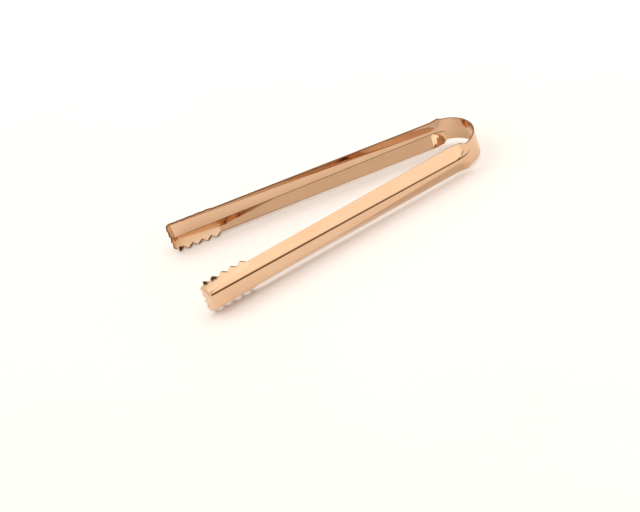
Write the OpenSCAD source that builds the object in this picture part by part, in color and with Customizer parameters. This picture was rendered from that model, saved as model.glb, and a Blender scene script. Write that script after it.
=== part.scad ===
// Spring ice tongs: one strip of sheet metal pressed into a springy bow, two channel arms and
// two toothed jaws. Lying on their side: +X is the bow, -X the jaws, the arms spread along Y.
// The origin is the middle of the bounding box, level with the lowest tooth tips.

/* [Sheet] */
// Thickness of the pressed sheet
sheet_t = 0.9; // [0.7:0.1:1.2]
// Width of the arms over their free edges
arm_w = 17.3; // [16:0.1:20]
// Trim at the free edges, which leaves a narrow flat land to rest on
edge_trim = 0.15; // [0.1:0.01:0.2]

/* [Bow] */
// Outer radius of the bow
bow_r = 21.2; // [18:0.1:26]
// Width of the flat strip round the bow
bow_w = 14; // [12:0.1:15]
// Angle between each arm and the middle line at rest
open_angle = 8.4; // [6:0.1:10]
// Hairline between neighbouring lengths of the bow
flex_gap = 0.02; // [0.01:0.01:0.05]

/* [Arms] */
// Length of an arm from the end of the bow to the tip
arm_l = 163.6; // [140:0.1:200]
// How far round the bow the flat strip starts to be folded up into the channel
shoulder_back = 12; // [8:0.5:14]
// How far along the arm the channel is complete
shoulder_front = 2; // [1:0.5:6]
// Half width of the flat web where the channel begins
web_start = 0.95; // [0.8:0.05:2]
// Half width of the flat web at the tip
web_end = 4.9; // [4:0.1:5.5]
// Extra half width of the web half way along the arm
web_belly = 0.2; // [0:0.05:0.4]
// Depth of the side walls where the channel begins
wall_start = 4; // [3:0.1:5]
// Depth of the side walls at the tip
wall_end = 6.8; // [6:0.1:8]

/* [Jaws] */
// Teeth along each side wall of a jaw
side_teeth = 5; // [3:1:6]
// Distance from one side tooth to the next
tooth_pitch = 5.73; // [5:0.01:6]
// Distance from the last side tooth to the tip
tooth_inset = 3.1; // [2.9:0.1:3.5]
// Depth of the side teeth from valley to tip
tooth_h = 1.8; // [1:0.1:2]
// How much deeper the tips of the side teeth are than the edge line of the arm
tooth_reach = 1.8; // [1.5:0.1:2.5]
// How far the tips of the side teeth stand out past the width of the arm
tooth_out = 1.6; // [0:0.1:2]
// Share of the wall below the crease where the jaw begins
crease_start = 0.58; // [0.4:0.01:0.8]
// Share of the wall below the crease at the end wall
crease_end = 0.3; // [0.1:0.01:0.5]
// Teeth along the end wall
claw_teeth = 4; // [3:1:4]
// Distance from one tooth of the end wall to the next
claw_pitch = 4.16; // [3.5:0.01:4.3]
// Depth of the end wall from the web to its tooth tips
claw_reach = 9.3; // [8:0.1:10]
// Height of the end wall's teeth
claw_tooth_h = 2.4; // [1.5:0.1:3]
// How far the end wall leans out between the web and its tooth tips
claw_lean = 1.8; // [1:0.1:2.5]

/* [Hidden] */

plating = [0.87, 0.62, 0.47];
half_w = arm_w / 2;
mid_h = half_w + tooth_out;
bow_lengths = 7;
shoulder_sweep = shoulder_back / bow_r * 180 / PI;
length_sweep = (180 - 2 * open_angle - 2 * shoulder_sweep) / bow_lengths;
jaw_s = arm_l - tooth_inset - (side_teeth - 0.5) * tooth_pitch;
claw_s = arm_l - claw_lean - sheet_t;
shoulder_steps = 14;
wall_steps = 16;
start_depth = 0.04;
start_flare = 0.05;
flare_from = 0.3;
flare_to = 0.55;

// Centre of the bow, placed so that the whole box is centred on X = 0
tips_x = bow_r * sin(open_angle) - arm_l * cos(open_angle) - claw_reach * sin(open_angle);
bow_x = -(bow_r + tips_x) / 2;

// Outer surface of the channel at distance s from the bow: web half width and wall depth
function along(s) = s / arm_l;
function belly(s) = 4 * web_belly * along(s) * (1 - along(s));
function web_half(s) = web_start + (web_end - web_start) * along(s) + belly(s);
function wall_depth(s) = wall_start + (wall_end - wall_start) * along(s);

// How complete the channel is at s, which is below 0 round the bow: 0 is flat, 1 is complete
function ease(x) = let(c = max(0, min(1, x))) c * c * (3 - 2 * c);
function shoulder_part(s) = (s + shoulder_back) / (shoulder_back + shoulder_front);
function fold(s) = ease(shoulder_part(s));
function flare(s) = ease((shoulder_part(s) - flare_from) / (flare_to - flare_from));
function mix(a, b, x) = a + (b - a) * x;
function fold_web(s) = mix(bow_w / 2, web_half(shoulder_front), fold(s));
function fold_wall(s) = mix(start_depth, wall_depth(shoulder_front), fold(s));
function fold_edge(s) = mix(bow_w / 2 + start_flare, half_w, flare(s));

// Points across the sheet are [u, z]: u grows away from the other arm, z is the height
function unit(v) = v / norm(v);
function inward(d) = [-d[1], d[0]];
function mitre(p, n, m) = p + sheet_t * (n + m) / (1 + n * m);
web_normal = [-1, 0];

// Where the line from a to b comes to height z, and its height at a depth below the web
function at_height(a, b, z) = a + (b - a) * (z - a[1]) / (b[1] - a[1]);
function at_depth(a, b, depth) = a[1] + (b[1] - a[1]) * (-depth - a[0]) / (b[0] - a[0]);

// Wall from the fold to a free edge that is trimmed level, as [outer points, inner points]
function wall_section(a, edge) =
    let(root = [0, a], d = unit(edge - root), n = inward(d))
    let(over = root + d * (norm(edge - root) + edge_trim / d[1]))
    let(cut = over + sheet_t * n)
    [[root, edge, at_height(over, cut, edge[1])],
     [mitre(root, web_normal, n), edge + sheet_t * n, cut]];

// Jaw wall: the arm's wall up to the crease, then the toothed facet that splays out
function jaw_part(s) = min(1, (s - jaw_s) / (claw_s - jaw_s));
function jaw_section(s, reach) =
    let(p = wall_depth(s), root = [0, web_half(s)], edge = [-p, half_w])
    let(crease = mix(root, edge, mix(crease_start, crease_end, jaw_part(s))))
    let(tip = [-p - tooth_reach, mid_h])
    let(d = unit(edge - root), f = unit(tip - crease))
    let(end = crease + f * (p + reach + crease[0]) / -f[0])
    [[root, crease, end],
     [mitre(root, web_normal, inward(d)), mitre(crease, inward(d), inward(f)),
      end + sheet_t * inward(f)]];

// Places a section across the arm at s, round the bow if s is below 0, or along the claw's face
function claw_face(u) = claw_s - u * claw_lean / claw_reach;
function round_bow(s) = -s / bow_r * 180 / PI;
function place(p, s) = s >= 0 ? [-s, p[0], p[1]]
    : [(bow_r + p[0]) * sin(round_bow(s)), (bow_r + p[0]) * cos(round_bow(s)) - bow_r, p[1]];
function spread(section, s) = [for (side = section) [for (p = side) place(p, s)]];
function against_claw(section) =
    [for (side = section) [for (p = side) [-claw_face(p[0]), p[0], p[1]]]];

// Solid ribbon through sections that each have matching outer and inner points
function quad(a, b, c, d) = [[a, b, c], [a, c, d]];
function flat(lists) = [for (list = lists) for (item = list) item];
module ribbon(sections) {
    n = len(sections[0][0]);
    last = len(sections) - 1;
    points = flat([for (section = sections) flat(section)]);
    function outer(k, j) = 2 * n * k + j;
    function inner(k, j) = 2 * n * k + n + j;
    skins = flat([for (k = [0 : last - 1]) for (j = [0 : n - 2])
        concat(quad(outer(k, j), outer(k, j + 1), outer(k + 1, j + 1), outer(k + 1, j)),
               quad(inner(k, j), inner(k + 1, j), inner(k + 1, j + 1), inner(k, j + 1)))]);
    edges = flat([for (k = [0 : last - 1])
        concat(quad(outer(k, 0), outer(k + 1, 0), inner(k + 1, 0), inner(k, 0)),
               quad(outer(k, n - 1), inner(k, n - 1), inner(k + 1, n - 1), outer(k + 1, n - 1)))]);
    caps = flat([for (j = [0 : n - 2])
        concat(quad(outer(0, j), inner(0, j), inner(0, j + 1), outer(0, j + 1)),
               quad(outer(last, j), outer(last, j + 1), inner(last, j + 1), inner(last, j)))]);
    polyhedron(points, concat(skins, edges, caps));
}

// Puts a piece drawn along -X from the end of the bow onto the far arm, or its mirror image
module on_arm(far) {
    mirror([0, far ? 0 : 1, 0])
        translate([bow_x + bow_r * sin(open_angle), bow_r * cos(open_angle), mid_h])
            rotate([0, 0, -open_angle])
                children();
}

// Upper pieces are drawn above mid height; lower ones are their mirror images
module upper_or_lower(upper) {
    mirror([0, 0, upper ? 0 : 1])
        children();
}

// One length of the bow, from angle a0 to a1 round its centre
module bow_length(a0, a1) {
    gap = flex_gap / 2 / bow_r * 180 / PI;
    color(plating)
        translate([bow_x, 0, mid_h - bow_w / 2])
            rotate([0, 0, a0 + gap])
                rotate_extrude(angle = a1 - a0 - 2 * gap, $fn = 180)
                    translate([bow_r - sheet_t, 0])
                        square([sheet_t, bow_w]);
}

// The k-th length out from the crown, on the far side or the near side
module side_length(k, far) {
    start = (k - 0.5) * length_sweep;
    if (far) bow_length(start, start + length_sweep);
    if (!far) bow_length(-start - length_sweep, -start);
}

// Section across the whole shoulder, from the lower edge to the upper edge
function shoulder_section(s) =
    let(w = wall_section(fold_web(s), [-fold_wall(s), fold_edge(s)]))
    let(down = [for (side = w) [for (i = [2 : -1 : 0]) [side[i][0], -side[i][1]]]])
    [concat(down[0], w[0]), concat(down[1], w[1])];

// Half of the flat strip being folded up into the channel
module shoulder(far) {
    color(plating)
        on_arm(far)
            ribbon([for (k = [0 : shoulder_steps])
                let(s = mix(flex_gap / 2 - shoulder_back, shoulder_front, k / shoulder_steps))
                spread(shoulder_section(s), s)]);
}

// Web section across the arm, from the lower fold to the upper fold
function web_section(s) =
    let(w = wall_section(web_half(s), [-wall_depth(s), half_w]), o = w[0][0], i = w[1][0])
    [[[o[0], -o[1]], o], [[i[0], -i[1]], i]];

// Flat back of the channel, from the shoulder to the end wall
module web(far) {
    stations = [for (k = [0 : wall_steps]) mix(shoulder_front, claw_s, k / wall_steps)];
    color(plating)
        on_arm(far)
            ribbon([for (k = [0 : wall_steps])
                let(section = web_section(stations[k]))
                k < wall_steps ? spread(section, stations[k]) : against_claw(section)]);
}

// Sloping side wall of the channel, from the shoulder to the jaw
module wall(far, upper) {
    color(plating)
        on_arm(far)
            upper_or_lower(upper)
                ribbon([for (k = [0 : wall_steps])
                    let(s = mix(shoulder_front, jaw_s, k / wall_steps))
                    spread(wall_section(web_half(s), [-wall_depth(s), half_w]), s)]);
}

// Toothed side wall of the jaw: stations alternate between valleys and tips
module jaw(far, upper) {
    valley = tooth_reach - tooth_h;
    color(plating)
        on_arm(far)
            upper_or_lower(upper)
                ribbon([for (k = [0 : 2 * side_teeth])
                    let(s = jaw_s + k * tooth_pitch / 2)
                    let(section = jaw_section(s, k % 2 == 1 ? tooth_reach : k == 0 ? 0 : valley))
                    k < 2 * side_teeth ? spread(section, s) : against_claw(section)]);
}

// End wall of the jaw: a leaning plate, as wide as the jaw, with teeth along its free edge
module claw(far) {
    side = jaw_section(claw_s, tooth_reach)[0];
    valley = claw_reach - claw_tooth_h;
    valley_half = at_depth(side[1], side[2], valley);
    half_outline = [[side[0][1], 0], [side[1][1], side[1][0]], [valley_half, -valley]];
    other_half = [for (k = [2 : -1 : 0]) [-half_outline[k][0], half_outline[k][1]]];
    teeth = [for (k = [0 : 2 * claw_teeth])
        [(claw_teeth - k) * claw_pitch / 2, k % 2 == 1 ? -claw_reach : -valley]];
    outline = concat(other_half, half_outline, teeth);
    color(plating)
        on_arm(far)
            intersection() {
                translate([0, 0, -mid_h])
                    linear_extrude(2 * mid_h)
                        polygon([[-claw_s, 0], [-claw_s - sheet_t, 0],
                            [-claw_s - sheet_t - claw_lean, -claw_reach],
                            [-claw_s - claw_lean, -claw_reach]]);
                translate([-arm_l - 1, 0, 0])
                    rotate([0, 90, 0])
                        linear_extrude(arm_l)
                            polygon(outline);
            }
}

module bow_crown() { bow_length(-length_sweep / 2, length_sweep / 2); }
module near_bow_inner() { side_length(1, false); }
module near_bow_middle() { side_length(2, false); }
module near_bow_outer() { side_length(3, false); }
module far_bow_inner() { side_length(1, true); }
module far_bow_middle() { side_length(2, true); }
module far_bow_outer() { side_length(3, true); }
module near_shoulder() { shoulder(false); }
module near_web() { web(false); }
module near_upper_wall() { wall(false, true); }
module near_lower_wall() { wall(false, false); }
module near_upper_jaw() { jaw(false, true); }
module near_lower_jaw() { jaw(false, false); }
module near_claw() { claw(false); }
module far_shoulder() { shoulder(true); }
module far_web() { web(true); }
module far_upper_wall() { wall(true, true); }
module far_lower_wall() { wall(true, false); }
module far_upper_jaw() { jaw(true, true); }
module far_lower_jaw() { jaw(true, false); }
module far_claw() { claw(true); }

bow_crown();
near_bow_inner();
near_bow_middle();
near_bow_outer();
far_bow_inner();
far_bow_middle();
far_bow_outer();
near_shoulder();
near_web();
near_upper_wall();
near_lower_wall();
near_upper_jaw();
near_lower_jaw();
near_claw();
far_shoulder();
far_web();
far_upper_wall();
far_lower_wall();
far_upper_jaw();
far_lower_jaw();
far_claw();
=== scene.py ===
import math

import bmesh
import bpy
from bpy.props import FloatProperty, FloatVectorProperty, PointerProperty
from mathutils import Matrix, Vector


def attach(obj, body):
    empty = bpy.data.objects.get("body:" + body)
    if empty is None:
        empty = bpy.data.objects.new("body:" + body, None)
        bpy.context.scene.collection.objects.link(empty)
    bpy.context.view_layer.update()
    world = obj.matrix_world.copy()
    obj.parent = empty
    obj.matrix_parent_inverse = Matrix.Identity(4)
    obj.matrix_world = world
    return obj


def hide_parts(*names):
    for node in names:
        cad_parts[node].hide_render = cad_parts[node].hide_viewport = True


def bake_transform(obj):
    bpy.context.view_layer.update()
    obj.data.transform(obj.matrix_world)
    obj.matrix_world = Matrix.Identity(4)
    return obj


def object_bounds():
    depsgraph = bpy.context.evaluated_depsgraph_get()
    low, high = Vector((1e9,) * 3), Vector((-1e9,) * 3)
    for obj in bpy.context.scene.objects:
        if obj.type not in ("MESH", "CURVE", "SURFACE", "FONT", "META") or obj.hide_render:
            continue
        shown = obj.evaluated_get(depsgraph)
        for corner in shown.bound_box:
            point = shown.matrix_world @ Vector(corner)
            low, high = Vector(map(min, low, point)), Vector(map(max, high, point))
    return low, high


bl_info = {
    "name": "Spring Ice Tongs",
    "version": (1, 0, 0),
    "blender": (4, 5, 0),
    "location": "3D View > Sidebar > Tongs",
    "description": "Builds pressed sheet metal ice tongs with channel arms and toothed jaws",
    "category": "Add Mesh",
}

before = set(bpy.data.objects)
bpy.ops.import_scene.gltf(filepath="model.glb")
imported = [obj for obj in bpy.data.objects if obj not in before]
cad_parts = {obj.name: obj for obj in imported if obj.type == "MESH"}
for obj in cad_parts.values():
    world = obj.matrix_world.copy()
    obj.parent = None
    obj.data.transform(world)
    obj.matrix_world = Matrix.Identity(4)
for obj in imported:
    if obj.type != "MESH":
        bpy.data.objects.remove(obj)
CAD_LOW, CAD_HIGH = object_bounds()
MM = 0.001
REST_HEIGHT = (CAD_LOW.z + CAD_HIGH.z) / 2

# How finely the sheet is drawn
FOLD_STEPS = 7
WALL_STEPS = 4
CREASE_STEPS = 4
FACET_STEPS = 4
CREASE_LEVEL = FOLD_STEPS + WALL_STEPS
FACET_LEVEL = CREASE_LEVEL + CREASE_STEPS
LEVELS = FACET_LEVEL + FACET_STEPS
WEB_COLUMNS = 6
CORNER_STEPS = 8
END_STEPS = 48
BOW_STEPS = 72
BOW_COLUMNS = 10

# Where the shoulder begins and ends along the sheet, in millimetres from the end of the bow,
# and how far apart the rows of points are on the shoulder, the plain arm and close to the jaw
SHOULDER_BACK = -12.0
SHOULDER_FRONT = 2.0
SHOULDER_STEP = 0.5
SHOULDER_ROWS = 28
PLAIN_STEP = 2.6
CLOSE_STEP = 0.6

# The shoulder as (place along the sheet, value): where the flat middle ends, where the bend
# ends, and the share of the channel's fold angle that is reached
FLAT_KNOTS = ((SHOULDER_BACK, 3.6), (-9.8, 2.9), (-7.6, 1.75), (-5.4, 1.0), (-3, 0.76), (0, 0.72))
BEND_KNOTS = ((SHOULDER_BACK, 12.0), (-7.6, 8.6), (-5.4, 6.7), (-4.3, 4.9), (-2, 2.9), (0, 1.55))
ANGLE_KNOTS = ((SHOULDER_BACK, 0.0), (-9.5, 0.16), (-5.5, 0.62), (-2, 0.9), (SHOULDER_FRONT, 1.0))
NEARLY_FLAT = 1e-6
NEARLY_STRAIGHT = 1e-5

# The jaw: how far before and after its start the facet turns, the share of the wall where its
# crease lies at both ends, its corners, and the teeth of the end wall
SIDE_TEETH = 5
FACET_RUN = 0.45
CREASE_SHARE_START, CREASE_SHARE_END = 0.58, 0.3
CORNER_START_RADIUS = 0.25
CORNER_TIGHTER_AT_WEB = 0.85
END_TOOTH_ROUNDING = 0.16
END_OUTER_VALLEY = 0.08

# Places along half a tooth where the sheet has a row of points
TOOTH_ROWS = (0.03, 0.07, 0.14, 0.3, 0.5, 0.7, 0.86, 0.93, 0.97, 1.0)
FIRST_TOOTH_ROWS = (0.3, 0.5, 0.7, 0.86, 0.93, 0.97, 1.0)
FACET_ROWS = (-0.45, -0.3, -0.15, 0, 0.15, 0.3, 0.45)

# The rounded cut edge as (share of the thickness, share of the rounding, lean of the normal)
RIM_PROFILE = ((0.12, 0.7, 0.75), (0.28, 1.0, 0.0), (0.72, 1.0, 0.0), (0.88, 0.7, -0.75))
RIM_LEAN_SHARE = 0.45

# Painted shade along the folds and tooth flanks, painted dark reflections on two teeth, and the
# satin
# coined facets with a painted sheen: lengths in millimetres, teeth counted from the bow side, rims
# in levels from the free edge
FOLD_LINE_RUN = 8
FOLD_LINE_END = 0.38
FOLD_LINE_INSIDE = 0.7
COINED_RUN = 0.6
COINED_OUTSIDE = 0.2
DARK_RIM, DARK_RIM_BLEND = 1.7, 1.1
FLANK_DARKNESS, FLANK_END = 0.7, 0.48
DARK_TOOTH, DARK_TOOTH_HALF, DARK_TOOTH_BLEND = 3.5, 0.22, 0.12
LAST_DARK_TOOTH, LAST_DARK_BLEND = 4.17, 0.14

# Small steps for finding the direction of the sheet
SIDE_STEP, TIP_STEP, LEVEL_STEP = 1e-3, 1e-4, 1e-3

# Sockets of the colour mixing node
MIX_FIRST, MIX_SECOND, MIX_RESULT = 6, 7, 2

# Stage
FLOOR_HALF_SIZE = 3.0
FLOOR_GAP = 0.00005
SENSOR_WIDTH = 36
CAMERA_RIGHT = (0.89700, -0.32181, -0.30303)
CAMERA_VIEW = (0.11846, 0.83548, -0.53659)
CAMERA_X, CAMERA_Y, CAMERA_ABOVE_MIDDLE = -0.142465, -0.879662, 0.534311
LIGHT_COLOUR = (1.0, 0.992, 0.98)


# ---------------------------------------------------------------- settings

class TongsSheet(bpy.types.PropertyGroup):
    """Sizes of the sheet and of its bends"""
    thickness: FloatProperty(
        name="Sheet thickness", description="Thickness of the pressed sheet",
        default=0.9 * MM, min=0.5 * MM, max=1.5 * MM, precision=5, unit="LENGTH")
    edge_round: FloatProperty(
        name="Edge rounding", description="Rounding of the cut edges after tumbling",
        default=0.13 * MM, min=0.02 * MM, max=0.3 * MM, precision=5, unit="LENGTH")
    fold_start: FloatProperty(
        name="Fold radius at the bow", description="Outer radius of the folds where an arm begins",
        default=1.5 * MM, min=1.0 * MM, max=2 * MM, precision=5, unit="LENGTH")
    fold_end: FloatProperty(
        name="Fold radius at the tip", description="Outer radius of the folds at the jaws",
        default=1.15 * MM, min=1.0 * MM, max=1.2 * MM, precision=5, unit="LENGTH")
    crease: FloatProperty(
        name="Crease length",
        description="Length of sheet on each side that the jaw crease takes up",
        default=0.28 * MM, min=0.1 * MM, max=0.6 * MM, precision=5, unit="LENGTH")
    corner: FloatProperty(
        name="Corner radius", description="Radius of the jaw's corners, seen from above",
        default=1.8 * MM, min=1.4 * MM, max=2.5 * MM, precision=5, unit="LENGTH")


class TongsBow(bpy.types.PropertyGroup):
    """Sizes of the bow"""
    radius: FloatProperty(
        name="Bow radius", description="Outer radius of the bow",
        default=21.2 * MM, min=15 * MM, max=30 * MM, precision=5, unit="LENGTH")
    width: FloatProperty(
        name="Strip width", description="Width of the flat strip round the bow",
        default=14 * MM, min=8 * MM, max=16 * MM, precision=5, unit="LENGTH")
    spread: FloatProperty(
        name="Opening angle", description="Angle between each arm and the middle line",
        default=math.radians(8.4), min=0, max=math.radians(12), subtype="ANGLE")


class TongsArm(bpy.types.PropertyGroup):
    """Sizes of the channel arms"""
    length: FloatProperty(
        name="Arm length", description="Length of an arm from the end of the bow to the tip",
        default=163.6 * MM, min=0.1, max=0.2, precision=5, unit="LENGTH")
    width: FloatProperty(
        name="Arm width", description="Width over the two side walls",
        default=17.3 * MM, min=0.012, max=0.022, precision=5, unit="LENGTH")
    web_start: FloatProperty(
        name="Web at the bow", description="Half width of the flat web where the channel begins",
        default=0.95 * MM, min=0.8 * MM, max=3 * MM, precision=5, unit="LENGTH")
    web_end: FloatProperty(
        name="Web at the tip", description="Half width of the flat web at the tip",
        default=4.9 * MM, min=3 * MM, max=6 * MM, precision=5, unit="LENGTH")
    web_belly: FloatProperty(
        name="Web belly", description="Extra half width of the web half way along the arm",
        default=0.2 * MM, min=0, max=0.5 * MM, precision=5, unit="LENGTH")
    wall_start: FloatProperty(
        name="Wall depth at the bow",
        description="Depth of the side walls where the channel begins",
        default=4 * MM, min=2 * MM, max=6 * MM, precision=5, unit="LENGTH")
    wall_end: FloatProperty(
        name="Wall depth at the tip", description="Depth of the side walls at the tip",
        default=6.8 * MM, min=5 * MM, max=8 * MM, precision=5, unit="LENGTH")


class TongsJaw(bpy.types.PropertyGroup):
    """Sizes of the toothed jaws"""
    pitch: FloatProperty(
        name="Tooth pitch", description="Distance from one side tooth to the next",
        default=5.73 * MM, min=3 * MM, max=7 * MM, precision=5, unit="LENGTH")
    inset: FloatProperty(
        name="Last tooth", description="Distance from the last side tooth to the tip",
        default=3.1 * MM, min=2 * MM, max=5 * MM, precision=5, unit="LENGTH")
    height: FloatProperty(
        name="Tooth height", description="Height of the side teeth",
        default=1.8 * MM, min=1 * MM, max=2 * MM, precision=5, unit="LENGTH")
    reach: FloatProperty(
        name="Tooth reach",
        description="How much deeper the side teeth are than the arm's edge line",
        default=1.8 * MM, min=1.5 * MM, max=2.5 * MM, precision=5, unit="LENGTH")
    claw_pitch: FloatProperty(
        name="End tooth pitch", description="Distance from one tooth of the end wall to the next",
        default=4.16 * MM, min=3.5 * MM, max=4.3 * MM, precision=5, unit="LENGTH")
    claw_reach: FloatProperty(
        name="End wall depth", description="Depth of the end wall to its tooth tips",
        default=9.3 * MM, min=6 * MM, max=10 * MM, precision=5, unit="LENGTH")
    claw_height: FloatProperty(
        name="End tooth height", description="Height of the end wall's teeth",
        default=2.4 * MM, min=1 * MM, max=3 * MM, precision=5, unit="LENGTH")
    claw_lean: FloatProperty(
        name="End wall lean", description="How far the end wall leans out at its tooth tips",
        default=1.8 * MM, min=0.5 * MM, max=3 * MM, precision=5, unit="LENGTH")


class TongsFinish(bpy.types.PropertyGroup):
    """Colours and polish of the plating, with the colours of its painted shade and painted sheen"""
    plating: FloatVectorProperty(
        name="Plating", description="Colour of the polished rose copper plating",
        default=(0.75, 0.525, 0.35), min=0, max=1, size=3, subtype="COLOR")
    plating_deep: FloatVectorProperty(
        name="Plating, thicker", description="Colour where the plating lies a little thicker",
        default=(0.72, 0.49, 0.32), min=0, max=1, size=3, subtype="COLOR")
    # Painted shade: a dark colour laid along the folds, the tooth flanks and two teeth, standing in
    # for shade and dark reflections
    bend: FloatVectorProperty(
        name="Bend line",
        description="Colour in the tight folds, where the plating is burnished dark",
        default=(0.10, 0.042, 0.016), min=0, max=1, size=3, subtype="COLOR")
    coined: FloatProperty(
        name="Coined roughness", description="Added roughness of the coined facets of the jaws",
        default=0.36, min=0, max=0.5, subtype="FACTOR")
    # Painted sheen: a lighter colour on the coined facets that stands in for the bright light they
    # reflect; their satin roughness is real
    coined_painted_sheen: FloatVectorProperty(
        name="Coined plating", description="Colour of the plating on the coined facets",
        default=(0.99, 0.80, 0.61), min=0, max=1, size=3, subtype="COLOR")
    edge: FloatVectorProperty(
        name="Cut edge",
        description="Colour of the sheared edges, which the plating covers thinly",
        default=(0.30, 0.16, 0.085), min=0, max=1, size=3, subtype="COLOR")
    polish: FloatProperty(
        name="Roughness", description="Roughness of the polished faces",
        default=0.055, min=0.01, max=0.4, subtype="FACTOR")


class TongsStudio(bpy.types.PropertyGroup):
    """Floor, lights and camera"""
    floor: FloatVectorProperty(
        name="Floor", description="Colour of the plain floor",
        default=(0.94, 0.945, 0.96), min=0, max=1, size=3, subtype="COLOR")
    surround: FloatVectorProperty(
        name="Surround", description="Colour of the room round the soft panels",
        default=(0.80, 0.68, 0.57), min=0, max=1, size=3, subtype="COLOR")
    panel: FloatProperty(
        name="Panel brightness", description="Brightness of the soft panels, as seen in the metal",
        default=1.0, min=0, max=5)
    lens: FloatProperty(
        name="Lens", description="Focal length on a 36 mm wide sensor, in millimetres",
        default=103.49, min=20, max=300)


class TongsSettings(bpy.types.PropertyGroup):
    """Everything a user may change"""
    sheet: PointerProperty(type=TongsSheet, name="Sheet", description="Sheet and bends")
    bow: PointerProperty(type=TongsBow, name="Bow", description="Springy bow")
    arm: PointerProperty(type=TongsArm, name="Arms", description="Channel arms")
    jaw: PointerProperty(type=TongsJaw, name="Jaws", description="Toothed jaws")
    finish: PointerProperty(type=TongsFinish, name="Finish", description="Plating")
    studio: PointerProperty(type=TongsStudio, name="Studio", description="Floor and lights")


# ---------------------------------------------------------------- small helpers

def mix(a, b, part):
    return a + (b - a) * part


def ease(x):
    x = min(1.0, max(0.0, x))
    return x * x * (3 - 2 * x)


def between(knots, x):
    """Smooth curve through (place, value) knots that rises or falls without overshoot."""
    if x <= knots[0][0]:
        return knots[0][1]
    slopes = [(b[1] - a[1]) / (b[0] - a[0]) for a, b in zip(knots, knots[1:])]
    grades = [slopes[0]]
    for left, right in zip(slopes, slopes[1:]):
        grades.append(2 * left * right / (left + right) if left * right > 0 else 0.0)
    grades.append(slopes[-1])
    for k, (a, b) in enumerate(zip(knots, knots[1:])):
        if x <= b[0]:
            w = b[0] - a[0]
            t = (x - a[0]) / w
            return ((1 + 2 * t) * (1 - t) ** 2 * a[1] + t * (1 - t) ** 2 * w * grades[k]
                    + t * t * (3 - 2 * t) * b[1] + t * t * (t - 1) * w * grades[k + 1])
    return knots[-1][1]


def soft_zigzag(x, rounding=0.14):
    """Tooth wave: 0 in a valley at whole x, 1 at a tip half way, both slightly rounded."""
    t = 2 * abs(x - round(x))
    if t < rounding:
        return (t * t / rounding + rounding) / 2
    if 1 - t < rounding:
        rest = 1 - t
        return 1 - (rest * rest / rounding + rounding) / 2
    return t


# ---------------------------------------------------------------- the sheet, in millimetres

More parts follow.
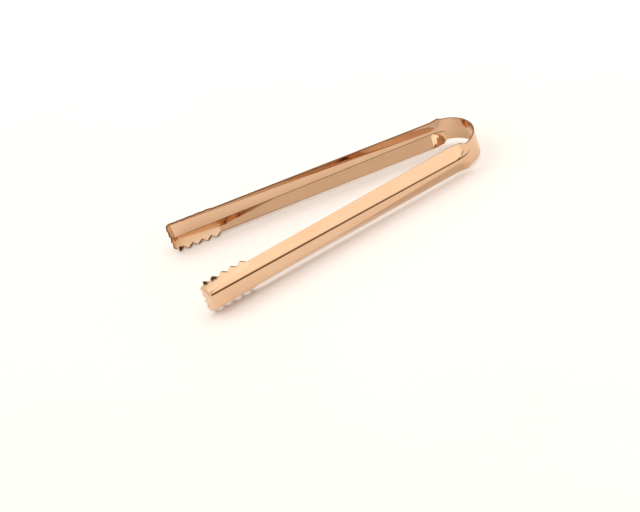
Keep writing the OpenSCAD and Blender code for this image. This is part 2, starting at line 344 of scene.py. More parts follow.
class Channel:
    """Outer surface of one arm: s runs along it from the bow, u away from the other arm, z up.

    Below s = 0 the sheet goes round the bow. A level is a place across the side wall, from 0 at
    the start of the fold to LEVELS at the free edge."""

    def __init__(self, settings):
        sheet, bow, arm, jaw = settings.sheet, settings.bow, settings.arm, settings.jaw
        self.sheet = sheet.thickness / MM
        self.round = sheet.edge_round / MM
        self.fold_radii = (sheet.fold_start / MM, sheet.fold_end / MM)
        self.crease = sheet.crease / MM
        self.corner = sheet.corner / MM
        self.bow_r = bow.radius / MM
        self.strip = bow.width / MM / 2
        self.spread = bow.spread
        self.length = arm.length / MM
        self.half = arm.width / MM / 2
        self.web = (arm.web_start / MM, arm.web_end / MM, arm.web_belly / MM)
        self.wall = (arm.wall_start / MM, arm.wall_end / MM)
        self.pitch = jaw.pitch / MM
        self.tooth = jaw.height / MM
        self.reach = jaw.reach / MM
        self.tip_half = (CAD_HIGH.z - CAD_LOW.z) / MM / 2
        self.claw_pitch = jaw.claw_pitch / MM
        self.claw_reach = jaw.claw_reach / MM
        self.claw_tooth = jaw.claw_height / MM
        self.lean = jaw.claw_lean / MM
        self.last_tip = self.length - jaw.inset / MM
        self.jaw_s = self.last_tip - (SIDE_TEETH - 0.5) * self.pitch
        self.root_s = self.length - self.lean
        self.centre_x = CAD_HIGH.x / MM - self.bow_r
        self.fractions = self.level_fractions()

    # the plain arm
    def web_half(self, s):
        start, end, belly = self.web
        part = s / self.length
        return mix(start, end, part) + 4 * belly * part * (1 - part)

    def wall_depth(self, s):
        return mix(*self.wall, s / self.length)

    def fold_radius(self, s):
        return mix(*self.fold_radii, s / self.length)

    # the jaw
    def jaw_part(self, s):
        return min(1.0, max(0.0, (s - self.jaw_s) / (self.root_s - self.jaw_s)))

    def edge_depth(self, s):
        """Depth of the free edge below the web: level along the arm, toothed along the jaw."""
        plain = self.wall_depth(s)
        if s <= self.jaw_s:
            return plain
        x = (s - self.jaw_s) / self.pitch
        valley = self.reach - self.tooth
        if x < 0.5:
            return plain + self.reach * soft_zigzag(x)
        return plain + valley + self.tooth * soft_zigzag(x)

    def bends(self, s):
        """Half width of the web, slope of the wall, crease as (z, u), and slope of the facet."""
        a, p, z = self.web_half(s), self.wall_depth(s), self.half
        first = math.atan2(p, z - a)
        share = mix(CREASE_SHARE_START, CREASE_SHARE_END, self.jaw_part(s))
        crease = (mix(a, z, share), -p * share)
        full = math.atan2(p + self.reach + crease[1], self.tip_half - crease[0])
        second = mix(first, full, ease((s - self.jaw_s + FACET_RUN) / (2 * FACET_RUN)))
        return a, first, crease, second

    def section(self, s, level):
        """Point across the upper side wall of the arm as (z, u)."""
        a, first, crease, second = self.bends(s)
        radius = self.fold_radius(s)
        flat_end = a - radius * math.tan(first / 2)
        arc_end = (flat_end + radius * math.sin(first), -radius * (1 - math.cos(first)))
        along, steep = (math.cos(first), -math.sin(first)), (math.cos(second), -math.sin(second))
        before = (crease[0] - self.crease * along[0], crease[1] - self.crease * along[1])
        after = (crease[0] + self.crease * steep[0], crease[1] + self.crease * steep[1])
        if level <= FOLD_STEPS:
            psi = first * level / FOLD_STEPS
            return flat_end + radius * math.sin(psi), -radius * (1 - math.cos(psi))
        level -= FOLD_STEPS
        if level <= WALL_STEPS:
            t = level / WALL_STEPS
            return mix(arc_end[0], before[0], t), mix(arc_end[1], before[1], t)
        level -= WALL_STEPS
        if level <= CREASE_STEPS:
            t = level / CREASE_STEPS
            k0, k1, k2 = (1 - t) ** 2, 2 * t * (1 - t), t * t
            return (k0 * before[0] + k1 * crease[0] + k2 * after[0],
                    k0 * before[1] + k1 * crease[1] + k2 * after[1])
        level -= CREASE_STEPS
        reach = (self.edge_depth(s) + after[1]) / -steep[1] - self.round
        t = reach * level / FACET_STEPS
        return after[0] + steep[0] * t, after[1] + steep[1] * t

    def level_fractions(self):
        """Where each level lies, as a share of the way from the fold's start to the free edge."""
        points = [self.section(SHOULDER_FRONT, k) for k in range(LEVELS + 1)]
        run = [0.0]
        for a, b in zip(points, points[1:]):
            run.append(run[-1] + math.dist(a, b))
        return [r / run[-1] for r in run]

    # the shoulder, where the flat strip is drawn up into the channel
    def shoulder(self, s, level):
        """Point across the shoulder as (z, u): flat, then bent, then straight to the edge."""
        a_front, phi_front, _, _ = self.bends(SHOULDER_FRONT)
        radius = self.fold_radius(SHOULDER_FRONT)
        flat_front = a_front - radius * math.tan(phi_front / 2)
        bend_front = flat_front + radius * math.sin(phi_front)
        flat_end = between((*FLAT_KNOTS, (SHOULDER_FRONT, flat_front)), s)
        bend_end = between((*BEND_KNOTS, (SHOULDER_FRONT, bend_front)), s)
        phi = phi_front * between(ANGLE_KNOTS, s)
        edge = between(((-8.0, self.strip), (-7.2, self.strip + 0.1), (-5.1, self.half - 0.25),
                        (-4.3, self.half), (SHOULDER_FRONT, self.half)), s)
        curve = math.sin(phi) / (bend_end - flat_end)
        if curve < NEARLY_FLAT:
            arc = edge - flat_end
            total = arc
        else:
            room = min(phi, math.asin(min(1.0, curve * (edge - flat_end))))
            arc = room / curve
            total = arc + max(0.0, edge - bend_end) / math.cos(phi)
        low, part = int(level), level - int(level)
        share = self.fractions[low]
        if part:
            share = mix(share, self.fractions[low + 1], part)
        run = share * (total - self.round)
        if run <= arc or curve < NEARLY_FLAT:
            psi = run * curve
            if psi < NEARLY_STRAIGHT:
                return flat_end + run, -run * psi / 2
            return flat_end + math.sin(psi) / curve, -(1 - math.cos(psi)) / curve
        psi = arc * curve
        rest = run - arc
        return (flat_end + math.sin(psi) / curve + rest * math.cos(psi),
                -(1 - math.cos(psi)) / curve - rest * math.sin(psi))

    # the end wall and the corners
    def end_section(self, level, depth):
        """Point across the end wall as (distance past its root line, u)."""
        lean = math.atan2(self.claw_reach, self.lean)
        radius = self.fold_radii[1]
        flat_end = -radius * math.tan(lean / 2)
        if level <= FOLD_STEPS:
            psi = lean * level / FOLD_STEPS
            return flat_end + radius * math.sin(psi), -radius * (1 - math.cos(psi))
        start = (flat_end + radius * math.sin(lean), -radius * (1 - math.cos(lean)))
        rest = LEVELS - FOLD_STEPS
        t = (level - FOLD_STEPS) / rest * ((depth + start[1]) / math.sin(lean) - self.round)
        return start[0] + t * math.cos(lean), start[1] - t * math.sin(lean)

    def corner_radius(self, level, run):
        cap = mix(CORNER_TIGHTER_AT_WEB, 1.0, level / LEVELS) * self.corner
        return min(CORNER_START_RADIUS + run, cap)

    def side_corner(self, level):
        """Height and depth where the side wall turns into the corner, and the radius there."""
        z, u = self.section_at_depth(self.root_s, level)
        return z, u, self.corner_radius(level, z - self.section(self.root_s, 0)[0])

    def edge_height(self, turn):
        """Height of the free edge round the corner."""
        z, _, radius = self.side_corner(LEVELS)
        return z - radius + radius * math.cos(turn * math.pi / 2)

    def corner_at(self, level, turn):
        """Round the corner: turn is 0 at the side wall and 1 at the end wall."""
        z, u_side, r_z = self.side_corner(level)
        out, u_end = self.end_section(level, self.end_depth(self.edge_height(turn)))
        out0, _ = self.end_section(0, 1)
        r_s = self.corner_radius(level, out - out0)
        angle = turn * math.pi / 2
        return (self.root_s + out - r_s + r_s * math.sin(angle),
                z - r_z + r_z * math.cos(angle), mix(u_side, u_end, ease(turn)))

    def section_at_depth(self, s, level):
        """The jaw's section at its last valley, where the corner begins."""
        if level <= FACET_LEVEL:
            return self.section(s, level)
        second = self.bends(s)[3]
        start = self.section(s, FACET_LEVEL)
        depth = self.wall_depth(s) + self.reach - self.tooth
        share = (level - FACET_LEVEL) / FACET_STEPS
        t = share * ((depth + start[1]) / math.sin(second) - self.round)
        return start[0] + t * math.cos(second), start[1] - t * math.sin(second)

    def end_depth(self, z):
        """Depth of the end wall's toothed edge."""
        wave = END_OUTER_VALLEY
        if abs(z) < 2 * self.claw_pitch:
            wave = soft_zigzag(abs(z) / self.claw_pitch, END_TOOTH_ROUNDING)
        return self.claw_reach - self.claw_tooth + self.claw_tooth * wave

    # every place on the sheet
    def point(self, place, level):
        """Point as (s, u, z) at a place and level.

        A place is (kind, how far): along the side, leading into the corner, round it, or
        across the end wall."""
        kind, x = place
        if kind == "side":
            z, u = self.section(x, level) if x >= SHOULDER_FRONT else self.shoulder(x, level)
            return x, u, z
        if kind == "lead":
            z, u = self.section(self.last_tip, level)
            s1, z1, u1 = self.corner_at(level, 0)
            return mix(self.last_tip, s1, x), mix(u, u1, x), mix(z, z1, x)
        if kind == "corner":
            s, z, u = self.corner_at(level, x)
            return s, u, z
        z, _, r_z = self.side_corner(level)
        out, u = self.end_section(level, self.end_depth(self.edge_height(1) * x))
        return self.root_s + out, u, (z - r_z) * x

    def marks(self, place, level):
        """Shares of the painted shade at the fold line and on a tooth's flank, of the painted dark
        reflection on the dark tooth and the last one, and of the facet.
        """
        kind, x = place
        # painted shade along the fold line
        fold = math.sin(math.pi * level / FOLD_STEPS) if level < FOLD_STEPS else 0.0
        if level == FOLD_STEPS:
            fold = FOLD_LINE_END
        coined = ease((level - CREASE_LEVEL) / CREASE_STEPS)
        near_rim = ease((level - LEVELS + DARK_RIM) / DARK_RIM_BLEND)
        flank = dark = last = 0.0
        if kind == "side":
            fold *= ease((x - SHOULDER_BACK) / FOLD_LINE_RUN)
            coined *= ease((x - self.jaw_s + FACET_RUN) / COINED_RUN)
            tooth = (x - self.jaw_s) / self.pitch
            if tooth > 0:
                # painted shade along the free edge of each tooth's rising flank, and painted dark
                # reflections on the fourth tooth and the last one
                flank = FLANK_DARKNESS * ease(level - LEVELS + 1) * (tooth % 1 < FLANK_END)
                off = abs(tooth - DARK_TOOTH) - DARK_TOOTH_HALF
                dark = near_rim * (1 - ease(off / DARK_TOOTH_BLEND))
                last = near_rim * ease((tooth - LAST_DARK_TOOTH) / LAST_DARK_BLEND)
        # past the last tooth and round the corner the marks fade out
        elif kind == "lead":
            fold *= 1 - 0.2 * x
            last = near_rim * (1 - ease((x - 0.2) / 0.4))
        elif kind == "corner":
            fold *= max(0.0, 0.8 - 1.8 * x)
            coined *= 1 - ease(x)
        else:
            fold = coined = 0.0
        return fold, flank, dark, last, coined

    def to_frame(self, point, far):
        """A place given as (s, u, z) in the row frame, in metres."""
        s, u, z = point
        if s >= 0:
            x, y = -s, u
        else:
            turn = -s / self.bow_r
            x = (self.bow_r + u) * math.sin(turn)
            y = (self.bow_r + u) * math.cos(turn) - self.bow_r
        c, n = math.cos(self.spread), math.sin(self.spread)
        wx = self.centre_x + self.bow_r * n + x * c + y * n
        wy = self.bow_r * c - x * n + y * c
        return Vector((wx * MM, wy * MM if far else -wy * MM, REST_HEIGHT + z * MM))

    def stations(self):
        """Places from the bow along the upper side wall and half way across the end wall."""
        side = [SHOULDER_BACK + SHOULDER_STEP * k for k in range(SHOULDER_ROWS)]
        side += [SHOULDER_FRONT + CLOSE_STEP * k for k in range(1, 6)]
        start = side[-1]
        plain = int((self.jaw_s - 1 - start) / PLAIN_STEP)
        side += [mix(start, self.jaw_s - CLOSE_STEP, k / plain) for k in range(1, plain + 1)]
        side += [self.jaw_s + x for x in FACET_ROWS]
        for half_tooth in range(2 * SIDE_TEETH - 1):
            base = self.jaw_s + half_tooth * self.pitch / 2
            rows = TOOTH_ROWS if half_tooth else FIRST_TOOTH_ROWS
            side += [base + self.pitch / 2 * x for x in rows]
        places = [("side", s) for s in side]
        places += [("lead", x) for x in (0.1, 0.25, 0.5, 0.75, 1.0)]
        places += [("corner", k / CORNER_STEPS) for k in range(1, CORNER_STEPS + 1)]
        places += [("end", 1 - k / END_STEPS) for k in range(1, END_STEPS + 1)]
        return places

    def surface(self, place, level, far):
        """Point and outward normal on the outer face, in the row frame."""
        here = self.to_frame(self.point(place, level), far)
        kind, x = place
        step = SIDE_STEP if kind == "side" else TIP_STEP
        x0 = x if (kind == "lead" and x < step) else x - step
        x1 = x if (kind != "side" and x + step > 1) else x + step
        if kind == "side" and x + step > self.last_tip:
            x1 = x
        along = (self.to_frame(self.point((kind, x1), level), far)
                 - self.to_frame(self.point((kind, x0), level), far))
        if level + LEVEL_STEP <= LEVELS:
            across = self.to_frame(self.point(place, level + LEVEL_STEP), far) - here
        else:
            across = here - self.to_frame(self.point(place, level - LEVEL_STEP), far)
        normal = along.cross(across).normalized()
        outward = Vector((math.sin(self.spread), math.cos(self.spread) * (1 if far else -1), 0))
        if kind == "side" and x < 0:
            outward = self.to_frame((x, 1, 0), far) - self.to_frame((x, 0, 0), far)
        if level == 0:
            return here, outward.normalized()
        # the normal is turned to the side that faces away from the inside of the channel
        away = outward.normalized() + Vector((0, 0, 0.001))
        if kind in ("corner", "end"):
            angle = math.pi / 2 * (x if kind == "corner" else 1.0)
            tipward = self.to_frame((1, 0, 0), far) - self.to_frame((0, 0, 0), far)
            away = (0.3 * away + math.sin(angle) * tipward.normalized()
                    + Vector((0, 0, math.cos(angle))))
        if normal.dot(away) < 0:
            normal = -normal
        return here, normal


# ---------------------------------------------------------------- turning the sheet into meshes

class Builder:
    """Collects points, normals and faces of one closed piece of sheet."""

    def __init__(self):
        self.points, self.normals, self.faces = [], [], []
        self.rim, self.caps = set(), set()
        # painted shade, and the coined facets that also carry a painted sheen, kept per point
        self.marks = {"bend": {}, "coined": {}}

    def add(self, point, normal, bend=0.0, coined=0.0):
        self.points.append(point)
        self.normals.append(normal.normalized())
        if bend:
            self.marks["bend"][len(self.points) - 1] = bend
        if coined:
            self.marks["coined"][len(self.points) - 1] = coined
        return len(self.points) - 1

    def face(self, *corners, rim=False, cap=False):
        if rim:
            self.rim.add(len(self.faces))
        if cap:
            self.caps.add(len(self.faces))
        self.faces.append(corners)

    def strip(self, row_a, row_b, **kind):
        for k in range(len(row_a) - 1):
            self.face(row_a[k], row_a[k + 1], row_b[k + 1], row_b[k], **kind)

    def sheet(self, rows, **kind):
        for a, b in zip(rows, rows[1:]):
            self.strip(a, b, **kind)

    def make(self, name, materials):
        mesh = bpy.data.meshes.new(name)
        mesh.from_pydata([tuple(p) for p in self.points], [], self.faces)
        mesh.validate(verbose=False)
        for material in materials:
            mesh.materials.append(material)
        if len(mesh.polygons) != len(self.faces):
            raise RuntimeError(f"{name}: a face of the sheet is broken")
        for k in self.rim:
            mesh.polygons[k].material_index = 1
        work = bmesh.new()
        work.from_mesh(mesh)
        bmesh.ops.recalc_face_normals(work, faces=work.faces)
        work.to_mesh(mesh)
        work.free()
        mesh.polygons.foreach_set("use_smooth", [True] * len(mesh.polygons))
        corners = [None] * len(mesh.loops)
        for k, polygon in enumerate(mesh.polygons):
            for loop in polygon.loop_indices:
                vertex = mesh.loops[loop].vertex_index
                corners[loop] = polygon.normal if k in self.caps else self.normals[vertex]
        mesh.normals_split_custom_set([tuple(n) for n in corners])
        for mark, values in self.marks.items():
            attribute = mesh.attributes.new(mark, "FLOAT", "POINT")
            attribute.data.foreach_set(
                "value", [values.get(k, 0.0) for k in range(len(mesh.vertices))])
        obj = bpy.data.objects.new(name, mesh)
        bpy.context.scene.collection.objects.link(obj)
        return obj


def rim_rows(builder, channel, outer, tangents):
    """Rounds the cut edge: rows of points from the outer face's edge to the inner face's edge."""
    r = channel.round * MM
    t = channel.sheet * MM
    rows = []
    for depth, out, lean in RIM_PROFILE:
        row = []
        for (point, normal), away in zip(outer, tangents):
            place = point + away * (r * out) - normal * (t * depth)
            upright = 1 - abs(lean) * RIM_LEAN_SHARE
            row.append(builder.add(place, away * upright + normal * lean))
        rows.append(row)
    return rows


def edge_directions(grid):
    """Direction in the sheet's plane that points out of it, at the free edge of each row."""
    out = []
    for k, row in enumerate(grid):
        before = grid[max(0, k - 1)][-1][0]
        after = grid[min(len(grid) - 1, k + 1)][-1][0]
        point, normal = row[-1]
        side = (after - before).cross(normal).normalized()
        down = (point - row[-2][0]).normalized()
        out.append(side if side.dot(down) > 0 else -side)
    return out


def mirrored(pair):
    """The same place and normal on the other side of mid height."""
    point, normal = pair
    return (Vector((point.x, point.y, 2 * REST_HEIGHT - point.z)),
            Vector((normal.x, normal.y, -normal.z)))


def build_arm(channel, side, materials):
    """One arm with its shoulder, web, side walls, toothed jaw and end wall, as one pressing."""
    far = side == "far"
    places = channel.stations()
    levels = range(LEVELS + 1)
    thickness = channel.sheet
    half = [[channel.surface(place, level, far) for level in levels] for place in places]
    half[-1] = [(point, Vector((normal.x, normal.y, 0)).normalized())
                for point, normal in half[-1]]
    grid = half + [[mirrored(pair) for pair in row] for row in reversed(half[:-1])]
    marks = [[channel.marks(place, level) for level in levels] for place in places]
    marks += marks[-2::-1]
    builder = Builder()
    outer, inner = [], []
    for k, (pairs, row) in enumerate(zip(grid, marks)):
        upper = k < len(places)
        out_row, in_row = [], []
        for (point, normal), (fold, flank, dark, end, coined) in zip(pairs, row):
            # painted shade on the outer and inner faces: fold lines, tooth flanks and the dark
            # teeth
            outside = max(fold, flank, dark, end) if upper else flank
            inside = flank if upper else max(FOLD_LINE_INSIDE * fold, flank, end)
            out_row.append(builder.add(point, normal, outside, COINED_OUTSIDE * coined))
            in_row.append(builder.add(point - normal * thickness * MM, -normal, inside, coined))
        outer.append(out_row)
        inner.append(in_row)
    builder.sheet(outer)
    builder.sheet(inner)
    rows = [[row[-1] for row in outer]]
    rows += rim_rows(builder, channel, [row[-1] for row in grid], edge_directions(grid))
    rows += [[row[-1] for row in inner]]
    builder.sheet(rows, rim=True)
    # the flat web between the two folds
    count = sum(kind in ("side", "lead") for kind, _ in places)
    last = len(grid) - 1
    web_outer, web_inner = [], []
    for k in range(count):
        top, normal = grid[k][0]
        bottom = grid[last - k][0][0]
        row_out, row_in = [outer[k][0]], [inner[k][0]]
        for column in range(1, WEB_COLUMNS):
            point = top.lerp(bottom, column / WEB_COLUMNS)
            row_out.append(builder.add(point, normal))
            row_in.append(builder.add(point - normal * thickness * MM, -normal))
        web_outer.append(row_out + [outer[last - k][0]])
        web_inner.append(row_in + [inner[last - k][0]])
    builder.sheet(web_outer)
    builder.sheet(web_inner)
    for wall, web in ((outer, web_outer), (inner, web_inner)):
        tip = [wall[k][0] for k in range(count, last - count + 1)]
        builder.face(*tip, *reversed(web[-1]))
    # the cut across the sheet where the bow goes on
    start_out = outer[0][::-1] + web_outer[0][1:-1] + outer[last]
    start_in = inner[0][::-1] + web_inner[0][1:-1] + inner[last]
    builder.strip(start_out, start_in, cap=True)
    for end in (0, last):
        builder.face(*[row[end] for row in rows], cap=True)
    piece = builder.make(f"{side}_arm", materials)
    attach(piece, f"{side}_arm")
    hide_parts(*[f"{side}_{part}" for part in (
        "shoulder", "web", "upper_wall", "lower_wall", "upper_jaw", "lower_jaw", "claw")])
    return piece


def build_bow_half(channel, name, end, nodes, materials):
    """Half of the flat strip round the bow, from its crown to an angle, closed at both ends."""
    up = Vector((0, 0, 1))
    builder = Builder()
    half = (channel.strip - channel.round) * MM
    rows_out, rows_in, rims = [], [], {1: [], -1: []}
    for k in range(BOW_STEPS + 1):
        angle = end * (k / BOW_STEPS)
        radial = Vector((math.cos(angle), math.sin(angle), 0))
        centre = Vector((channel.centre_x * MM, 0, REST_HEIGHT)) + radial * channel.bow_r * MM
        row_out, row_in = [], []
        for column in range(BOW_COLUMNS + 1):
            point = centre + up * mix(half, -half, column / BOW_COLUMNS)
            row_out.append(builder.add(point, radial))
            row_in.append(builder.add(point - radial * channel.sheet * MM, -radial))
        rows_out.append(row_out)
        rows_in.append(row_in)
        for sign in (1, -1):
            edge = [(centre + up * half * sign, radial)]
            rims[sign].append([row[0] for row in rim_rows(builder, channel, edge, [up * sign])])
    builder.sheet(rows_out)
    builder.sheet(rows_in)
    edges = ((1, 0), (-1, BOW_COLUMNS))
    for sign, column in edges:
        builder.sheet([[out[column], *rim, inn[column]]
                       for out, rim, inn in zip(rows_out, rims[sign], rows_in)], rim=True)
    for k in (0, BOW_STEPS):
        builder.strip(rows_out[k], rows_in[k], cap=True)
        for sign, column in edges:
            builder.face(rows_out[k][column], *rims[sign][k], rows_in[k][column], cap=True)
    piece = builder.make(name, materials)

    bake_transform(piece)
    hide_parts(*nodes)
    return piece


# ---------------------------------------------------------------- materials

def new_material(name):
    material = bpy.data.materials.get(name) or bpy.data.materials.new(name)
    material.use_nodes = True
    tree = material.node_tree
    tree.nodes.clear()
    output = tree.nodes.new("ShaderNodeOutputMaterial")
    shader = tree.nodes.new("ShaderNodeBsdfPrincipled")
    tree.links.new(shader.outputs["BSDF"], output.inputs["Surface"])
    return material, tree, shader


def noise(tree, scale, detail, stretch=(1, 1, 1)):
    where = tree.nodes.new("ShaderNodeTexCoord")
    shape = tree.nodes.new("ShaderNodeMapping")
    shape.inputs["Scale"].default_value = stretch
    texture = tree.nodes.new("ShaderNodeTexNoise")
    texture.inputs["Scale"].default_value = scale
    texture.inputs["Detail"].default_value = detail
    tree.links.new(where.outputs["Object"], shape.inputs["Vector"])
    tree.links.new(shape.outputs["Vector"], texture.inputs["Vector"])
    return texture


def ramp(tree, source, low, high, start=0.3, end=0.7):
    """Turns the range from start to end into the range from low to high."""
    node = tree.nodes.new("ShaderNodeMapRange")
    node.inputs["From Min"].default_value = start
    node.inputs["From Max"].default_value = end
    node.inputs["To Min"].default_value = low
    node.inputs["To Max"].default_value = high
    tree.links.new(source, node.inputs["Value"])
    return node.outputs["Result"]


def colours(tree, source, first, second):
    """Mixes two plain colours by a share from 0 to 1."""
    node = tree.nodes.new("ShaderNodeMix")
    node.data_type = "RGBA"
    node.inputs[MIX_FIRST].default_value = (*first, 1)
    node.inputs[MIX_SECOND].default_value = (*second, 1)
    tree.links.new(source, node.inputs[0])
    return node.outputs[MIX_RESULT]


def overlay(tree, share, below, colour):
    """Lays a plain colour over another, by a share from 0 to 1."""
    node = tree.nodes.new("ShaderNodeMix")
    node.data_type = "RGBA"
    node.inputs[MIX_SECOND].default_value = (*colour, 1)
    tree.links.new(below, node.inputs[MIX_FIRST])
    tree.links.new(share, node.inputs[0])
    return node.outputs[MIX_RESULT]


def polished_plating(finish):
    """Rose copper plating over polished sheet: nearly a mirror, with faint cloudiness and wipes,
    painted shade and dark reflections at the folds and teeth, and a painted sheen that lightens the
    coined facets.
    """
    material, tree, shader = new_material("polished_rose_copper")
    shader.inputs["Metallic"].default_value = 1.0
    cloud = noise(tree, scale=55, detail=3)
    tint = ramp(tree, cloud.outputs["Fac"], 0.0, 1.0)
    skin = colours(tree, tint, finish.plating, finish.plating_deep)
    bend, coined = tree.nodes.new("ShaderNodeAttribute"), tree.nodes.new("ShaderNodeAttribute")
    bend.attribute_name, coined.attribute_name = "bend", "coined"
    # painted sheen: the coined facets are lightened to stand in for the bright light they reflect
    skin = overlay(tree, coined.outputs["Fac"], skin, finish.coined_painted_sheen)
    # painted shade: dark colour in the folds and along the teeth, standing in for shade and dark
    # reflections
    dark = ramp(tree, bend.outputs["Fac"], 0.0, 1.0, start=0.15, end=0.55)
    skin = overlay(tree, dark, skin, finish.bend)
    tree.links.new(skin, shader.inputs["Base Color"])
    wipes = noise(tree, scale=420, detail=4, stretch=(0.12, 1, 1))
    rough = ramp(tree, wipes.outputs["Fac"], finish.polish * 0.7, finish.polish * 1.5)
    satin = tree.nodes.new("ShaderNodeMath")
    satin.operation = "MULTIPLY_ADD"
    satin.inputs[1].default_value = finish.coined
    tree.links.new(coined.outputs["Fac"], satin.inputs[0])
    tree.links.new(rough, satin.inputs[2])
    tree.links.new(satin.outputs[0], shader.inputs["Roughness"])
    ripple = noise(tree, scale=70, detail=2, stretch=(0.25, 1, 1))
    bump = tree.nodes.new("ShaderNodeBump")
    bump.inputs["Strength"].default_value = 0.06
    bump.inputs["Distance"].default_value = 0.0004
    tree.links.new(ripple.outputs["Fac"], bump.inputs["Height"])
    tree.links.new(bump.outputs["Normal"], shader.inputs["Normal"])
    return material


def cut_edge(finish):
    """Sheared edge: rougher and browner than the faces, with the fine streaks of the cut."""
    material, tree, shader = new_material("sheared_edge")
    shader.inputs["Metallic"].default_value = 1.0
    streaks = noise(tree, scale=2600, detail=2, stretch=(1, 1, 0.4))
    tint = ramp(tree, streaks.outputs["Fac"], 0.0, 1.0)
    deep = tuple(0.6 * c for c in finish.edge)
    tree.links.new(colours(tree, tint, finish.edge, deep), shader.inputs["Base Color"])
    rough = ramp(tree, streaks.outputs["Fac"], 0.24, 0.4)
    tree.links.new(rough, shader.inputs["Roughness"])
    return material


def floor_paint(studio):
    """Plain matt floor, very slightly uneven in tone."""
    material, tree, shader = new_material("pale_floor")
    grain = noise(tree, scale=9, detail=3)
    tint = ramp(tree, grain.outputs["Fac"], 0.0, 1.0)
    deep = tuple(0.99 * c for c in studio.floor)
    tree.links.new(colours(tree, tint, studio.floor, deep), shader.inputs["Base Color"])
    shader.inputs["Roughness"].default_value = 0.85
    shader.inputs["Specular IOR Level"].default_value = 0.1
    return material


# ---------------------------------------------------------------- operators

class TONGS_OT_arms(bpy.types.Operator):
    """Press both arms, each with its shoulder, channel and toothed jaw"""
    bl_idname = "tongs.arms"
    bl_label = "Press the Arms"

    def execute(self, context):
        settings = context.scene.tongs
        channel = Channel(settings)
        materials = [polished_plating(settings.finish), cut_edge(settings.finish)]
        for side in ("near", "far"):
            build_arm(channel, side, materials)
        return {"FINISHED"}


class TONGS_OT_bow(bpy.types.Operator):
    """Bend the bow that springs the arms apart, as two halves"""
    bl_idname = "tongs.bow"
    bl_label = "Bend the Bow"

    def execute(self, context):
        settings = context.scene.tongs
        channel = Channel(settings)
        materials = [polished_plating(settings.finish), cut_edge(settings.finish)]
        end = math.pi / 2 - channel.spread + SHOULDER_BACK / channel.bow_r
        for side, sign in (("near", -1), ("far", 1)):
            nodes = ["bow_crown"] + [f"{side}_bow_{part}" for part in ("inner", "middle", "outer")]
            build_bow_half(channel, f"{side}_bow", sign * end,
                           nodes, materials)
        return {"FINISHED"}


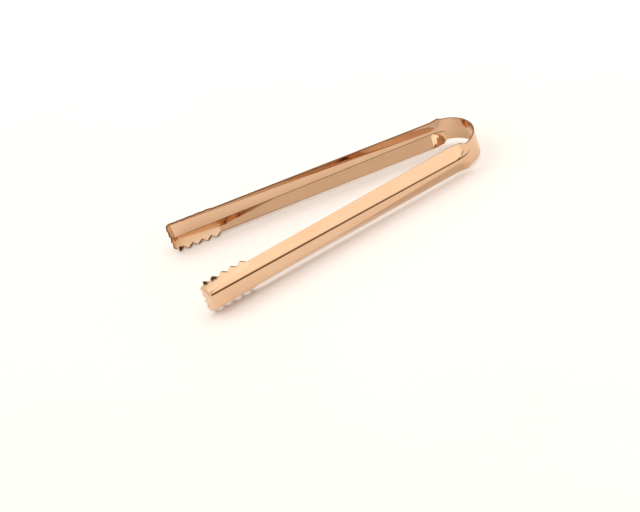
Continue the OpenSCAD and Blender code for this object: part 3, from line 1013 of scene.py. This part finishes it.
class TONGS_OT_stage(bpy.types.Operator):
    """Lay the floor and set the soft panels, the camera and the surround"""
    bl_idname = "tongs.stage"
    bl_label = "Set the Stage"

    def execute(self, context):
        studio = context.scene.tongs.studio
        self.lay_floor(studio)
        self.hang_panels(studio)
        self.set_camera(context, studio)
        context.scene.view_settings.view_transform = "Standard"
        return {"FINISHED"}

    @staticmethod
    def lay_floor(studio):
        mesh = bpy.data.meshes.new("floor")
        work = bmesh.new()
        bmesh.ops.create_grid(work, x_segments=12, y_segments=12, size=FLOOR_HALF_SIZE)
        work.to_mesh(mesh)
        work.free()
        mesh.materials.append(floor_paint(studio))
        floor = bpy.data.objects.new("floor", mesh)
        floor.location.z = CAD_LOW.z - FLOOR_GAP
        bpy.context.scene.collection.objects.link(floor)

    @staticmethod
    def hang_panels(studio):
        world = bpy.data.worlds.new("surround")
        world.use_nodes = True
        tree = world.node_tree
        where = tree.nodes.new("ShaderNodeTexCoord")
        split = tree.nodes.new("ShaderNodeSeparateXYZ")
        tree.links.new(where.outputs["Generated"], split.inputs["Vector"])
        height = ramp(tree, split.outputs["Z"], 0.0, 1.0, start=0.04, end=0.3)
        low = tuple(0.6 * c for c in studio.surround)
        background = tree.nodes["Background"]
        tree.links.new(colours(tree, height, low, studio.surround), background.inputs["Color"])
        bpy.context.scene.world = world
        flat, slanted = (0, 0, 0), (0, math.pi / 2, math.radians(-83))
        # name, place, turn, width, height, brightness, seen in the metal
        panels = (
            ("right_panel", (0.95, -0.9, 1.0), flat, 1.66, 3.6, 0.61, True),
            ("back_panel", (-0.35, 1.35, 1.0), flat, 2.4, 2.0, 0.61, True),
            ("left_panel", (-1.6, -0.2, 1.0), flat, 1.5, 3.0, 0.6, True),
            ("front_panel", (0.23, -1.886, 0.36), slanted, 0.7, 0.88, 0.61, True),
            ("floor_panel", (0, 0, 1.6), flat, 2.6, 2.6, 0.25, False),
        )
        for name, place, turn, width, height, bright, seen in panels:
            light = bpy.data.lights.new(name, "AREA")
            light.shape = "RECTANGLE"
            light.size, light.size_y = width, height
            light.energy = studio.panel * bright * math.pi * width * height
            light.color = LIGHT_COLOUR
            lamp = bpy.data.objects.new(name, light)
            lamp.location = place
            lamp.rotation_euler = turn
            lamp.visible_glossy = seen
            bpy.context.scene.collection.objects.link(lamp)

    @staticmethod
    def set_camera(context, studio):
        data = bpy.data.cameras.new("camera")
        data.lens = studio.lens
        data.sensor_width = SENSOR_WIDTH
        data.clip_start = 0.01
        data.clip_end = 20
        camera = bpy.data.objects.new("camera", data)
        right = Vector(CAMERA_RIGHT).normalized()
        view = Vector(CAMERA_VIEW).normalized()
        up = right.cross(view).normalized()
        right = view.cross(up)
        turn = Matrix((right, up, -view)).transposed()
        place = (CAMERA_X, CAMERA_Y, REST_HEIGHT + CAMERA_ABOVE_MIDDLE)
        camera.matrix_world = Matrix.Translation(place) @ turn.to_4x4()
        context.scene.collection.objects.link(camera)
        context.scene.camera = camera


class TONGS_PT_panel(bpy.types.Panel):
    """Lists the settings and the steps of making the tongs"""
    bl_idname = "TONGS_PT_panel"
    bl_label = "Ice Tongs"
    bl_space_type = "VIEW_3D"
    bl_region_type = "UI"
    bl_category = "Tongs"

    def draw(self, context):
        settings = context.scene.tongs
        for group in (settings.sheet, settings.bow, settings.arm, settings.jaw,
                      settings.finish, settings.studio):
            box = self.layout.box()
            for key in group.bl_rna.properties.keys():
                if key not in ("rna_type", "name"):
                    box.prop(group, key)
        for step in OPERATORS:
            self.layout.operator(step.bl_idname)


OPERATORS = (TONGS_OT_arms, TONGS_OT_bow, TONGS_OT_stage)
CLASSES = (TongsSheet, TongsBow, TongsArm, TongsJaw, TongsFinish, TongsStudio, TongsSettings,
           *OPERATORS, TONGS_PT_panel)


def register():
    for item in CLASSES:
        bpy.utils.register_class(item)
    bpy.types.Scene.tongs = PointerProperty(type=TongsSettings)


def unregister():
    del bpy.types.Scene.tongs
    for item in reversed(CLASSES):
        bpy.utils.unregister_class(item)


def main():
    register()
    bpy.ops.tongs.arms()
    bpy.ops.tongs.bow()
    bpy.ops.tongs.stage()
    bpy.context.view_layer.update()


if __name__ == "__main__":
    main()
